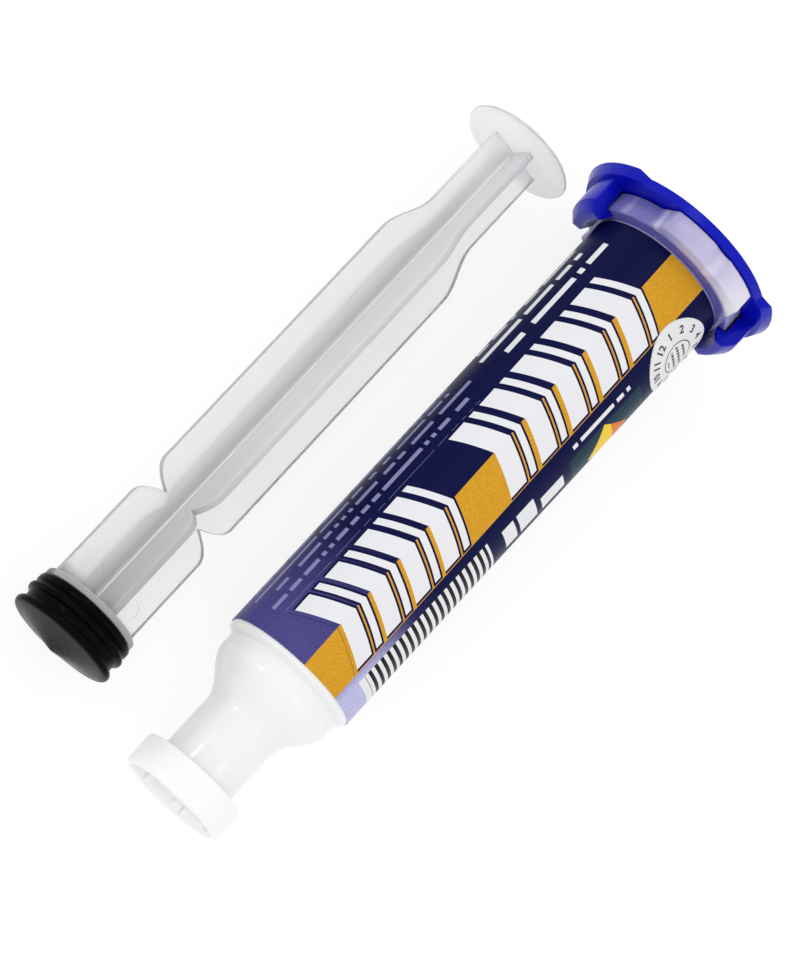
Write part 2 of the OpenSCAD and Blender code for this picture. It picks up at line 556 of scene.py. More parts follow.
class AxisDesk(Desk):
    """A desk with one shader and with coordinates that follow the axis of a sub-assembly.

    They are the place along the axis, the way round it, as an arc at a set radius, and the
    distance from it, all in millimetres.
    """

    def __init__(self, name: str, axis: LaidAxis, arc_radius: float) -> None:
        """Starts a material with its shader and coordinates.

        Args:
            name: Name of the material.
            axis: The axis of the sub-assembly.
            arc_radius: Radius that the way round the axis is measured at.
        """
        super().__init__(name)
        self.shader = self.tree.nodes.new("ShaderNodeBsdfPrincipled")
        self.tree.links.new(self.shader.outputs["BSDF"], self.output.inputs["Surface"])
        self.place = self.node("TexCoord", {}, "Object")
        centred = self.node("VectorMath", {0: self.place, 1: axis.start()}, operation="SUBTRACT")
        up, side, self.along = (
            self.node("VectorMath", {0: centred, 1: direction / MM}, "Value",
                      operation="DOT_PRODUCT")
            for direction in (axis.upward(), Vector((1, 0, 0)), axis.direction()))
        self.turn = side.do("ARCTAN2", up)
        self.arc = self.turn * arc_radius
        self.radius = up.hypot(side)

    def set(self, inputs: Mapping[str, Input]) -> None:
        """Links or sets inputs of the shader, by their names."""
        for name, value in inputs.items():
            self.feed(self.shader.inputs[name], value)

    def box(self, along: Span, arc_span: Span) -> Signal:
        """Returns how far outside a rectangle round the axis the place is, negative inside."""
        return self.along.beyond(*along).max(self.arc.beyond(*arc_span))

    def noise(self, grain: Grain) -> Signal:
        """Returns a noise value around 0.5.

        Args:
            grain: Size of its spots in millimetres, number and strength of its finer layers.

        Returns:
            The noise.
        """
        size, detail, roughness = grain
        inputs = {"Vector": self.place, "Scale": 1 / (size * MM), "Detail": detail,
                  "Roughness": roughness}
        return self.node("TexNoise", inputs, "Fac")

    def bump(self, *heights: tuple[Signal, float]) -> None:
        """Gives the shader a relief.

        Args:
            heights: Values and the height that each adds, in millimetres.
        """
        below: dict[str, Input] = {}
        for value, height in heights:
            inputs = {"Strength": 1.0, "Distance": height * MM, "Height": value, **below}
            below = {"Normal": self.node("Bump", inputs, "Normal")}
        self.set(below)


@dataclass(frozen=True)
class Finish:
    """The look of a material, which each kind of it paints in its own way."""

    name: str
    arc_radius: float = 9.0

    def make(self, axis: LaidAxis) -> bpy.types.Material:
        """Makes the material.

        Args:
            axis: The axis of the sub-assembly that wears it.

        Returns:
            The material.
        """
        desk = AxisDesk(self.name, axis, self.arc_radius)
        self.paint(desk)
        return desk.material

    def paint(self, desk: AxisDesk) -> None:
        """Lays out the nodes of the look on a desk."""
        raise NotImplementedError


@dataclass(frozen=True)
class MilkyPlastic(Finish):
    """Milky translucent plastic, softly clouded."""

    colour: Colour = (0.925, 0.925, 0.93)
    cloud_shade: float = 0.98
    clear: float = 0.0
    scatter: float = 0.25
    roughness: float = 0.2
    depth: float = 1.5
    gloss: float = 0.4
    ior: float = 1.3
    cloud: Grain = (5.0, 3.0, 0.55)
    flow: Grain = (3.0, 1.0, 0.4)
    flow_height: float = 0.015

    def paint(self, desk: AxisDesk) -> None:
        """Lays out the clouded plastic.

        Args:
            desk: The material's desk.
        """
        cloud = desk.noise(self.cloud)
        dimmed = tuple(part * self.cloud_shade for part in self.colour)
        pale = cloud.spread(0.0, 0.5).mix(self.colour, dimmed)
        desk.set({"Transmission Weight": self.clear})
        desk.set({"Base Color": self.shade(desk, pale),
                  "Subsurface Weight": self.scatter,
                  "Subsurface Radius": (1.0, 1.0, 1.0),
                  "Subsurface Scale": self.depth * MM,
                  "IOR": self.ior,
                  "Specular IOR Level": self.gloss,
                  "Roughness": cloud.spread(self.roughness - 0.05, self.roughness + 0.07)})
        desk.bump((desk.noise(self.flow), self.flow_height))

    def shade(self, desk: AxisDesk, pale: Signal) -> Signal:
        """Returns the colour over the piece, here the clouded colour alone."""
        return pale


@dataclass(frozen=True)
class FlangedPlastic(MilkyPlastic):
    """Milky plastic with a lilac tint where the blue cap shines through its flange, darker violet
    on the flange's face, painted light and shade across the rim, and painted glints on it.
    """

    rim_light: Colour = (0.9, 0.86, 0.98)
    rim: Colour = (0.6, 0.57, 0.8)
    rim_dim: Colour = (0.3, 0.28, 0.6)
    face: Colour = (0.14, 0.125, 0.46)
    light_side: Span = (0.5, 6.0)
    dim_side: Span = (-0.5, -6.5)
    rim_reach: Span = (10.4, 11.4)
    flange_reach: Span = (86.6, 87.2)
    waver: float = 0.3
    see_through: float = 0.15
    # Painted glints: thin light streaks across the rim.
    glints: tuple[float, ...] = (-9.6, -5.2, 1.0)
    glint_reach: Span = (0.7, 0.1)
    glint_share: float = 0.4

    def shade(self, desk: AxisDesk, pale: Signal) -> Signal:
        """Returns the pale colour with the tinted flange, its painted light and shade and its
        painted glints.

        Args:
            desk: The material's desk.
            pale: The clouded plain colour.

        Returns:
            The colour.
        """
        wavy = desk.arc + desk.noise(self.flow).spread(-self.waver, self.waver)
        # Painted light and shade: the rim is painted lighter to one side and darker to the other.
        rim = wavy.ramp(*self.light_side).mix(self.rim, self.rim_light)
        rim = wavy.ramp(*self.dim_side).mix(rim, self.rim_dim)
        outward = desk.radius.ramp(*self.rim_reach)
        tint = outward.mix(self.face, rim)
        # Painted glints across the rim.
        for middle in self.glints:
            share = abs(wavy - middle).ramp(*self.glint_reach) * outward
            tint = (share * self.glint_share).mix(tint, self.rim_light)
        flange = desk.along.ramp(*self.flange_reach)
        desk.set({"Transmission Weight": flange * self.see_through})
        return flange.mix(pale, tint)


@dataclass(frozen=True)
class RodPlastic(MilkyPlastic):
    """Thin milky plastic with painted shade at the root of the plates, on the top rib, towards the
    seal and at the end disc, a painted highlight at the root and a lit tone on the left plate.
    """

    # Painted shade: core, rib and end are darker tones that stand in for shade; the two low colours
    # are darker still towards the seal.
    core: Colour = (0.52, 0.52, 0.53)
    core_low: Colour = (0.38, 0.38, 0.39)
    rib: Colour = (0.67, 0.67, 0.68)
    rib_low: Colour = (0.48, 0.48, 0.485)
    # Painted light and shade: the left plate gets its own tone for how it is lit.
    left: Colour = (0.92, 0.92, 0.925)
    # Painted highlight: a light line along the root of the plates.
    root: Colour = (0.98, 0.98, 0.98)
    end: Colour = (0.4, 0.4, 0.405)
    rib_turn: float = 11.5
    below_thumb: Span = (84.2, 83.2)
    left_edge: Span = (0.7, 0.4)
    core_fade: Span = (-3.3, 0.5)
    waist: Span = (70.0, 80.0)
    low_end: Span = (42.0, 9.0)
    rib_height: Span = (0.6, 0.7)
    root_line: Span = (0.88, 0.83)
    disc_end: Span = (9.6, 7.2)
    core_share: float = 0.75
    waist_share: float = 0.35
    left_milk: float = 0.36
    thumb_milk: float = 0.2
    milk_share: float = 0.75

    def shade(self, desk: AxisDesk, pale: Signal) -> Signal:
        """Returns the pale colour with painted shade towards the root, on the top rib and at the
        end disc, and a painted highlight.

        Args:
            desk: The material's desk.
            pale: The clouded plain colour.

        Returns:
            The colour.
        """
        turned = desk.turn - math.radians(self.rib_turn)
        height = desk.radius * turned.do("COSINE")
        across = desk.radius * turned.do("SINE")
        short = desk.along.ramp(*self.below_thumb)
        low = desk.along.ramp(*self.low_end)
        leftward = across.ramp(*self.left_edge) * short
        raised = height.ramp(*self.rib_height) * short
        fading = self.core_share - desk.along.ramp(*self.waist) * self.waist_share
        core_shade = across.ramp(*self.core_fade) * leftward * fading
        milky = (leftward * self.left_milk).max(raised) + (1.0 - short) * self.thumb_milk
        desk.set({"Transmission Weight": self.clear - milky * self.milk_share})
        # The left plate's own tone is painted light and shade.
        body = leftward.mix(pale, self.left)
        # Painted shade in the core and on the top rib, darker towards the seal.
        body = core_shade.mix(body, low.mix(self.core, self.core_low))
        body = raised.mix(body, low.mix(self.rib, self.rib_low))
        # Painted highlight along the root of the plates.
        body = (desk.radius.ramp(*self.root_line) * short).mix(body, self.root)
        # Painted shade at the end disc.
        return desk.along.ramp(*self.disc_end).mix(body, self.end)


@dataclass(frozen=True)
class RimPlastic(MilkyPlastic):
    """Milky plastic seen edge on, painted darker as the shade along thin edges, but fading to pale
    along the waist of the rod.
    """

    faded: Colour = (0.8, 0.8, 0.81)
    waist: Span = (68.0, 80.0)

    def shade(self, desk: AxisDesk, pale: Signal) -> Signal:
        """Returns the painted dark edge shade, faded towards the thumb disc."""
        return desk.along.ramp(*self.waist).mix(pale, self.faded)


@dataclass(frozen=True)
class BluePlastic(Finish):
    """Glossy royal blue plastic, painted a little lighter along its thin edges as painted light,
    and clouded with the same lighter tone.
    """

    name: str = "royal_blue_plastic"
    colour: Colour = (0.0012, 0.003, 0.4)
    edge_colour: Colour = (0.005, 0.012, 0.5)
    edge_reach: Span = (0.52, 0.62)
    edge_share: float = 0.6
    cloud: Grain = (4.0, 3.0, 0.5)
    flow: Grain = (1.8, 2.0, 0.5)
    fine: Grain = (0.3, 3.0, 0.6)

    def paint(self, desk: AxisDesk) -> None:
        """Lays out the blue plastic.

        Args:
            desk: The material's desk.
        """
        fine = desk.noise(self.fine)
        # Painted light: thin, pointed edges get the lighter colour.
        edge = desk.node("NewGeometry", {}, "Pointiness").ramp(*self.edge_reach)
        share = (edge * self.edge_share).max(desk.noise(self.cloud).spread(0.0, 0.3))
        desk.set({"Base Color": share.mix(self.colour, self.edge_colour),
                  "Specular IOR Level": 0.12,
                  "Roughness": fine.spread(0.2, 0.28),
                  "IOR": 1.5})
        desk.bump((desk.noise(self.flow), 0.03), (fine, 0.001))


@dataclass(frozen=True)
class SealRubber(Finish):
    """Black moulded rubber with a faint sheen and a dusty bloom."""

    name: str = "seal_rubber"
    black: Colour = (0.0012, 0.0012, 0.0013)
    bloom: Colour = (0.0032, 0.0032, 0.0034)
    front: Colour = (0.0022, 0.0022, 0.0024)
    dust: Colour = (0.07, 0.07, 0.072)
    front_reach: Span = (2.15, 1.95)
    speck_size: Span = (0.52, 0.64)
    speck_share: float = 0.6
    cloud: Grain = (3.0, 4.0, 0.6)
    fine: Grain = (0.18, 3.0, 0.65)

    def paint(self, desk: AxisDesk) -> None:
        """Lays out the rubber.

        Args:
            desk: The material's desk.
        """
        cloud = desk.noise(self.cloud)
        fine = desk.noise(self.fine)
        body = (cloud.spread(0.0, 0.8) * fine.spread(0.3, 1.0)).mix(self.black, self.bloom)
        dusty = (fine.ramp(*self.speck_size) * self.speck_share).mix(self.front, self.dust)
        desk.set({"Base Color": desk.along.ramp(*self.front_reach).mix(body, dusty),
                  "Roughness": cloud.spread(0.2, 0.3),
                  "Specular IOR Level": 0.035})
        desk.bump((fine, 0.006), (cloud, 0.02))


@dataclass(frozen=True)
class FluxFill(Finish):
    """Creamy flux paste with soft lumps."""

    name: str = "flux_paste"
    dark: Colour = (0.66, 0.6, 0.44)
    light: Colour = (0.78, 0.73, 0.58)
    lumps: Grain = (1.6, 4.0, 0.55)

    def paint(self, desk: AxisDesk) -> None:
        """Lays out the paste.

        Args:
            desk: The material's desk.
        """
        lumps = desk.noise(self.lumps)
        desk.set({"Base Color": lumps.spread(0.0, 1.0).mix(self.dark, self.light),
                  "Roughness": lumps.spread(0.22, 0.4),
                  "Subsurface Weight": 0.3,
                  "Subsurface Scale": 1.0 * MM})
        desk.bump((lumps, 0.12))


@dataclass(frozen=True)
class Chevrons:
    """A group of chevrons, wide and narrow in turn, in millimetres along the label."""

    start: float
    count: int
    pitch: float = 5.15
    wide: float = 2.5
    narrow: float = 0.95
    gap: float = 0.85
    lead: float = 0.3

    def reach(self, leaning: Signal, height: Signal) -> Signal:
        """Returns how far outside the chevrons the place is, negative inside.

        Args:
            leaning: Place along the label, bent as the chevrons are.
            height: How far outside their band the place is.

        Returns:
            The distance.
        """
        step = leaning.do("WRAP", self.start + self.pitch, self.start)
        late = self.start + self.wide + self.gap
        bars = step.beyond(self.start, self.start + self.wide).min(
            step.beyond(late, late + self.narrow))
        first = self.start - self.lead
        return bars.max(height).max(leaning.beyond(first, first + self.pitch * self.count))


@dataclass(frozen=True)
class TextRows:
    """A field of thin bars in rows along the label, with ragged ends."""

    arc_span: Span
    along: Span
    pitch: float
    height: float
    word: float
    seed: float
    ragged: float = 1.4
    row_swing: float = 2.3
    blank_share: float = 0.2

    def mask(self, desk: AxisDesk) -> Signal:
        """Returns 1 on the bars.

        Args:
            desk: The label's desk.

        Returns:
            The mask.
        """
        count = (desk.arc - self.arc_span[0]) / self.pitch
        row = count.do("FLOOR")
        cell = {"X": (desk.along / self.word).do("FLOOR"), "Y": row + self.seed}
        chance = desk.node("TexWhiteNoise", {"Vector": desk.node("CombineXYZ", cell)}, "Value",
                           noise_dimensions="2D")
        place = desk.along + (row * self.row_swing).do("SINE") * self.ragged
        length = place.beyond(self.along[0] + self.ragged, self.along[1] - self.ragged)
        field = length.max(desk.arc.beyond(*self.arc_span)) < 0.0
        across = count.do("FRACT") < self.height / self.pitch
        return field * across * (chance > self.blank_share)


@dataclass(frozen=True)
class PrintedLabel(Finish):
    """Coated print: navy ground, gold band, white blocks, rows of bars, stripes and a badge."""

    name: str = "label_print"
    navy: Colour = (0.0028, 0.0045, 0.05)
    purple: Colour = (0.075, 0.065, 0.24)
    lilac: Colour = (0.5, 0.49, 0.74)
    gold: Colour = (0.65, 0.325, 0.022)
    white: Colour = (0.79, 0.79, 0.82)
    faint: Colour = (0.26, 0.25, 0.46)
    black: Colour = (0.012, 0.012, 0.016)
    teal: Colour = (0.008, 0.035, 0.06)
    yellow: Colour = (0.86, 0.6, 0.04)
    orange: Colour = (0.75, 0.2, 0.02)
    purple_reach: Span = (39.0, 21.0)
    lilac_reach: Span = (34.0, 24.0)
    lilac_side: Span = (2.0, 5.6)
    dots: Grain = (0.2, 2.0, 0.6)
    paper: Grain = (0.5, 4.0, 0.6)
    swell: Grain = (6.0, 1.0, 0.5)
    drift: float = 0.015
    band: Span = (-1.19, 4.51)
    chevron_band: Span = (-6.3, 4.1)
    slant: float = 0.42
    outline: float = 0.3
    chevrons: tuple[Chevrons, ...] = (Chevrons(24.4, 4), Chevrons(51.6, 5, 5.6, 2.8))
    small_rows: TextRows = TextRows((-14.9, -7.5), (22.5, 59.5), 1.84, 0.6, 0.62, 3.0)
    large_rows: TextRows = TextRows((-15.0, -7.7), (62.0, 83.5), 2.46, 0.85, 0.85, 8.0)
    short_row: TextRows = TextRows((4.85, 5.85), (60.2, 73.4), 2.0, 0.6, 0.6, 5.0)
    field: tuple[Span, Span] = ((23.6, 46.0), (5.3, 11.5))
    striped: tuple[Span, Span] = ((24.6, 45.6), (5.3, 11.1))
    stripe_pitch: float = 1.05
    badge: tuple[Span, Span] = ((60.2, 73.2), (6.3, 10.5))
    diamond: Point = (66.7, 10.0)
    diamond_r: float = 3.6
    diamond_split: float = 67.6
    blocks: tuple[tuple[Span, Span], ...] = (((48.3, 50.3), (5.9, 9.5)), ((50.9, 53.9), (5.9, 9.5)),
                                             ((54.8, 58.8), (7.1, 9.5)))

    def paint(self, desk: AxisDesk) -> None:
        """Lays out the print, from the ground up.

        Args:
            desk: The material's desk.
        """
        drifting = desk.along * self.drift + desk.arc
        colour = (drifting.beyond(*self.band) < 0.0).mix(self.ground(desk), self.gold)
        dots = desk.noise(self.dots).spread(0.82, 1.16)
        colour = desk.node("HueSaturation", {"Color": colour, "Value": dots}, "Color")
        for rows, ink in ((self.small_rows, self.faint), (self.large_rows, self.white),
                          (self.short_row, self.white)):
            colour = rows.mask(desk).mix(colour, ink)
        colour = self.add_chevrons(desk, drifting, colour)
        colour = self.add_fields(desk, colour)
        paper = desk.noise(self.paper)
        desk.set({"Base Color": colour,
                  "Roughness": paper.spread(0.3, 0.42),
                  "Specular IOR Level": 0.06})
        desk.bump((paper, 0.004), (desk.noise(self.swell), 0.03))

    def ground(self, desk: AxisDesk) -> Signal:
        """Returns the ground colour, which fades from navy to purple and lilac at the tip end.

        Args:
            desk: The material's desk.

        Returns:
            The colour.
        """
        purple = desk.along.ramp(*self.purple_reach).mix(self.navy, self.purple)
        low = desk.arc.ramp(*self.lilac_side) * desk.along.ramp(*self.lilac_reach)
        return low.mix(purple, self.lilac)

    def add_chevrons(self, desk: AxisDesk, drifting: Signal, colour: Signal) -> Signal:
        """Adds the white chevrons with their navy outlines.

        Args:
            desk: The material's desk.
            drifting: The way round the axis, drifting a little along the label.
            colour: The colour below.

        Returns:
            The colour.
        """
        height = drifting.beyond(*self.chevron_band)
        leaning = height * self.slant + desk.along
        nearest = reduce(Signal.min, [group.reach(leaning, height) for group in self.chevrons])
        colour = (nearest < self.outline).mix(colour, self.navy)
        return (nearest < 0.0).mix(colour, self.white)

    def add_fields(self, desk: AxisDesk, colour: Signal) -> Signal:
        """Adds the field of equal stripes, the badge with its plain diamond and the blocks.

        Args:
            desk: The material's desk.
            colour: The colour below.

        Returns:
            The colour.
        """
        stripe = (desk.along / self.stripe_pitch).do("FRACT") < 0.5
        colour = (desk.box(*self.field) < 0.0).mix(colour, self.white)
        colour = (stripe * (desk.box(*self.striped) < 0.0)).mix(colour, self.black)
        colour = (desk.box(*self.badge) < 0.0).mix(colour, self.teal)
        middle_along, middle_arc = self.diamond
        off = abs(desk.along - middle_along) + abs(desk.arc - middle_arc)
        facets = (desk.along > self.diamond_split).mix(self.yellow, self.orange)
        colour = (off < self.diamond_r).mix(colour, facets)
        nearest = reduce(Signal.min, [desk.box(*block) for block in self.blocks])
        return (nearest < 0.0).mix(colour, self.white)


@dataclass(frozen=True)
class StickerPaper(Finish):
    """White sticker paper with a black ring and plain bars in its middle."""

    name: str = "sticker_paper"
    arc_radius: float = 9.46
    middle_turn: float = 0.0
    middle_along: float = 0.0
    ink: Colour = (0.015, 0.015, 0.018)
    paper: Colour = (0.8, 0.8, 0.81)
    fibre_colour: Colour = (0.72, 0.72, 0.74)
    fibre: Grain = (0.4, 4.0, 0.65)
    ring_r: float = 2.25
    ring_half: float = 0.075
    bars_r: float = 1.75
    row_pitch: float = 0.95
    row_share: float = 0.42
    word_pitch: float = 0.62
    word_share: float = 0.72

    def paint(self, desk: AxisDesk) -> None:
        """Lays out the sticker's paper and print.

        Args:
            desk: The material's desk.
        """
        off_arc = desk.arc - math.radians(self.middle_turn) * self.arc_radius
        off_along = desk.along - self.middle_along
        distance = off_arc.hypot(off_along)
        ring = abs(distance - self.ring_r) < self.ring_half
        bars = (off_along / self.row_pitch).do("FRACT") < self.row_share
        words = (off_arc / self.word_pitch).do("FRACT") < self.word_share
        printed = ring.max(bars * words * (distance < self.bars_r))
        fibre = desk.noise(self.fibre)
        paper = fibre.spread(0.0, 0.5).mix(self.paper, self.fibre_colour)
        desk.set({"Base Color": printed.mix(paper, self.ink),
                  "Roughness": fibre.spread(0.5, 0.62)})
        desk.bump((fibre, 0.004))


@dataclass(frozen=True)
class StickerInk(Finish):
    """Black printing ink that lies a little uneven."""

    name: str = "sticker_ink"
    dark: Colour = (0.01, 0.01, 0.012)
    light: Colour = (0.03, 0.03, 0.034)
    fine: Grain = (0.15, 3.0, 0.6)

    def paint(self, desk: AxisDesk) -> None:
        """Lays out the ink.

        Args:
            desk: The material's desk.
        """
        fine = desk.noise(self.fine)
        desk.set({"Base Color": fine.spread(0.0, 1.0).mix(self.dark, self.light),
                  "Roughness": fine.spread(0.4, 0.55)})
        desk.bump((fine, 0.002))


@dataclass
class SubAssembly:
    """What the sub-assemblies share: their sizes, their axis and the body that they ride on."""

    sizes: Sizes
    axis: LaidAxis
    body: str

    def coat(self, piece: Piece, finish: Finish) -> None:
        """Gives a piece one finish in place of any that it has."""
        piece.data.materials.clear()
        piece.data.materials.append(finish.make(self.axis))

    def deliver(self, piece: Piece, name: str, finish: Finish, slot: str,
                nodes: Sequence[str] = (), smooth: float = 30.0) -> Piece:
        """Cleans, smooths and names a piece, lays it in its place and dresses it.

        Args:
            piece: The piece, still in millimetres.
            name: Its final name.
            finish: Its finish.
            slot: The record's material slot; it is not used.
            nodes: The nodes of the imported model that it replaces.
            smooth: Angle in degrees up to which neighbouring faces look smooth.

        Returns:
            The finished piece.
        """
        Bench.edit(piece)
        Bench.merge(MERGE / 2)
        bpy.ops.object.mode_set(mode="OBJECT")
        bpy.ops.object.shade_smooth_by_angle(angle=math.radians(smooth))
        Bench.move(piece, self.axis.matrix())
        piece.name = name
        piece.data.name = name
        self.coat(piece, finish)
        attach(piece, self.body)
        if nodes:
            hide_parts(*nodes)
        LOG.info("%s: %d vertices, rides on %s", name, len(piece.data.vertices), self.body)
        return piece


@dataclass
class Barrel(SubAssembly):
    """The moulded barrel with collar, shoulder, wall and eared flange."""

    bulb_r: float = 8.0
    collar_r: float = 4.95
    collar_inner_r: float = 3.75
    collar_z: float = 4.25
    shoulder_z: float = 11.55
    bulb_z: float = 17.55
    floor_z: float = 12.4
    socket_floor_z: float = 10.85
    nozzle_hole_r: float = 0.9
    nozzle_tip_z: float = 3.4
    nozzle_tip_r: float = 1.97
    nozzle_root_r: float = 2.18
    narrow_r: float = 10.8
    flange_hole_r: float = 8.3
    ear_mid: float = 5.0
    ear_foot: float = 45.4
    ear_turns: tuple[float, ...] = (-32.0, -26.0, -20.0, -14.0, -9.0, -5.9, -4.0, -2.0, 0.0,
                                    2.0, 4.0, 5.9, 9.0, 14.0, 20.0, 26.0, 32.0)
    scallop_r: float = 4.0
    scallop_depth: float = 0.3

    def build(self) -> None:
        """Builds the barrel and gives it its finish."""
        low = self.sizes.flange_z
        high = low + self.sizes.flange_t
        wall = Bench.spin(self.profile())
        flange = Bench.round_edges(Bench.plate(self.flange_outline(), low, high), Edge.ROUND)
        hole = Bench.cylinder(self.flange_hole_r, low - 1, high + 1)
        Bench.combine(flange, Boolean.DIFFERENCE, [hole])
        Bench.combine(wall, Boolean.UNION, [flange])
        finish = FlangedPlastic("milky_barrel", colour=(0.885, 0.885, 0.885), roughness=0.17,
                                gloss=0.5, ior=1.45)
        self.deliver(wall, "barrel_shell", finish, "barrel_plastic", ["barrel"])

    def profile(self) -> list[Point]:
        """Returns the turned profile: outside from collar to flange, bore and nozzle inside."""
        sizes = self.sizes
        end = sizes.flange_z + sizes.flange_t
        step = sizes.step_z
        outside = [(self.collar_inner_r, self.collar_z), (self.collar_r - 0.25, self.collar_z),
                   (self.collar_r - 0.08, self.collar_z + 0.08),
                   (self.collar_r, self.collar_z + 0.25)]
        outside += s_curve(self.collar_r, self.bulb_r, self.shoulder_z, self.bulb_z, 28)
        outside += s_curve(self.bulb_r, sizes.barrel_tip_r, step + 0.2, step + 1.0, 12)
        outside += [(sizes.barrel_tail_r, sizes.flange_z), (sizes.barrel_tail_r, end - 0.1),
                    (sizes.barrel_tail_r - 0.1, end), (sizes.bore_r + 0.15, end),
                    (sizes.bore_r, end - 0.15)]
        inside = s_curve(sizes.bore_r, self.nozzle_hole_r, step + 1.2, self.floor_z, 20)
        inside += [(self.nozzle_hole_r, self.nozzle_tip_z), (self.nozzle_tip_r, self.nozzle_tip_z),
                   (self.nozzle_root_r, self.socket_floor_z),
                   (self.collar_inner_r, self.socket_floor_z)]
        return outside + inside

    def flange_outline(self) -> list[Point]:
        """Returns the outline of the flange, with two ears that have a shallow scallop each."""
        outline = []
        for side in SIDES:
            middle = self.ear_mid + side
            outline.append(around(self.narrow_r, middle - self.ear_foot))
            outline += [around(self.ear_reach(turn), middle + turn) for turn in self.ear_turns]
            outline += arc(self.narrow_r, middle + self.ear_foot,
                           middle + 180 - self.ear_foot - 4, 20)
        return outline

    def ear_reach(self, turn: float) -> float:
        """Returns the radius of an ear, less where its scallop is.

        Args:
            turn: Angle from the middle of the ear, in degrees.

        Returns:
            The radius.
        """
        centre = self.sizes.ear_r + self.scallop_r - self.scallop_depth
        along, across = (centre * part(math.radians(turn)) for part in (math.cos, math.sin))
        return min(self.sizes.ear_r, along - math.sqrt(max(0.0, self.scallop_r**2 - across**2)))


@dataclass
class Label(SubAssembly):
    """The printed film round the barrel, with the round date sticker on it."""

    sticker_r: float = 5.0
    sticker_turn: float = 51.0
    sticker_z: float = 79.75
    sticker_t: float = 0.1
    number_ring_r: float = 3.75
    number_size: float = 1.5
    number_lift: float = 0.008
    number_weight: float = 0.035

    def build(self) -> None:
        """Builds the label, the sticker and the numbers on it."""
        sizes = self.sizes
        film = self.sleeve(sizes.label_z, sizes.label_z + sizes.label_len, -sizes.label_t,
                           sizes.label_t, 192)
        self.deliver(film, "label_film", PrintedLabel(), "label_print", ["label"])
        self.build_sticker()
        numbers = Bench.join([self.number(hour) for hour in range(1, 13)])
        self.deliver(numbers, "sticker_numbers", StickerInk(), "sticker_paper")

    def sleeve(self, low: float, high: float, lift: float, thickness: float,
               steps: int) -> Piece:
        """Builds a thin sleeve that follows the taper of the barrel.

        Args:
            low: Where it starts along the axis.
            high: Where it ends along the axis.
            lift: How far its inside lies above the label's outside.
            thickness: Its thickness.
            steps: Number of steps round the axis.

        Returns:
            The sleeve.
        """
        inner = [(self.sizes.label_r(z) + lift, z) for z in (low, high)]
        outer = [(radius + thickness, z) for radius, z in inner]
        return Bench.spin([inner[0], *outer, inner[1]], steps=steps)

    def build_sticker(self) -> None:
        """Builds the round sticker as a disc that follows the barrel."""
        reach = self.sticker_r + 1
        disc = self.sleeve(self.sticker_z - reach, self.sticker_z + reach, self.sizes.label_lift,
                           self.sticker_t, 288)
        cutter = Bench.rotate(Bench.cylinder(self.sticker_r, 0, 20), 90, "Y")
        Bench.turn(cutter, self.sticker_turn)
        Bench.shift(cutter, 0, 0, self.sticker_z)
        Bench.combine(disc, Boolean.INTERSECT, [cutter])
        finish = StickerPaper(middle_turn=self.sticker_turn, middle_along=self.sticker_z)
        self.deliver(disc, "date_sticker_disc", finish, "sticker_paper", ["date_sticker"])

    def number(self, hour: int) -> Piece:
        """Builds one number, upright on the ring.

        Args:
            hour: The number.

        Returns:
            The number as a thin mesh.
        """
        ring = math.radians((hour - 1) * 30)
        out_arc, out_along = -math.cos(ring), math.sin(ring)
        top = self.sizes.label_lift + self.sticker_t
        surface = self.sizes.label_r(self.sticker_z) + top
        angle = math.radians(self.sticker_turn) + out_arc * self.number_ring_r / surface
        Bench.deselect()
        bpy.ops.object.text_add(location=(0, 0, 0))
        text = bpy.context.object
        text.data.body = str(hour)
        text.data.size = self.number_size
        text.data.align_x = "CENTER"
        text.data.align_y = "CENTER"
        text.data.extrude = self.number_lift
        text.data.offset = self.number_weight
        text.data.resolution_u = 3
        bpy.ops.object.convert(target="MESH")
        outward = Vector((math.sin(angle), -math.cos(angle), 0))
        sideways = Vector((math.cos(angle), math.sin(angle), 0))
        upward = sideways * out_arc + Vector((0, 0, out_along))
        rightward = sideways * out_along - Vector((0, 0, out_arc))
        along = self.sticker_z + out_along * self.number_ring_r
        radius = self.sizes.label_r(along) + top + self.number_lift
        matrix = Matrix((rightward, upward, outward)).transposed().to_4x4()
        matrix.translation = outward * radius + Vector((0, 0, along))
        return Bench.move(text, matrix)


@dataclass
class PasteFill(SubAssembly):
    """The paste inside the barrel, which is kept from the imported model."""

    def build(self) -> None:
        """Gives the paste its finish."""
        self.coat(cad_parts["flux_paste"], FluxFill())


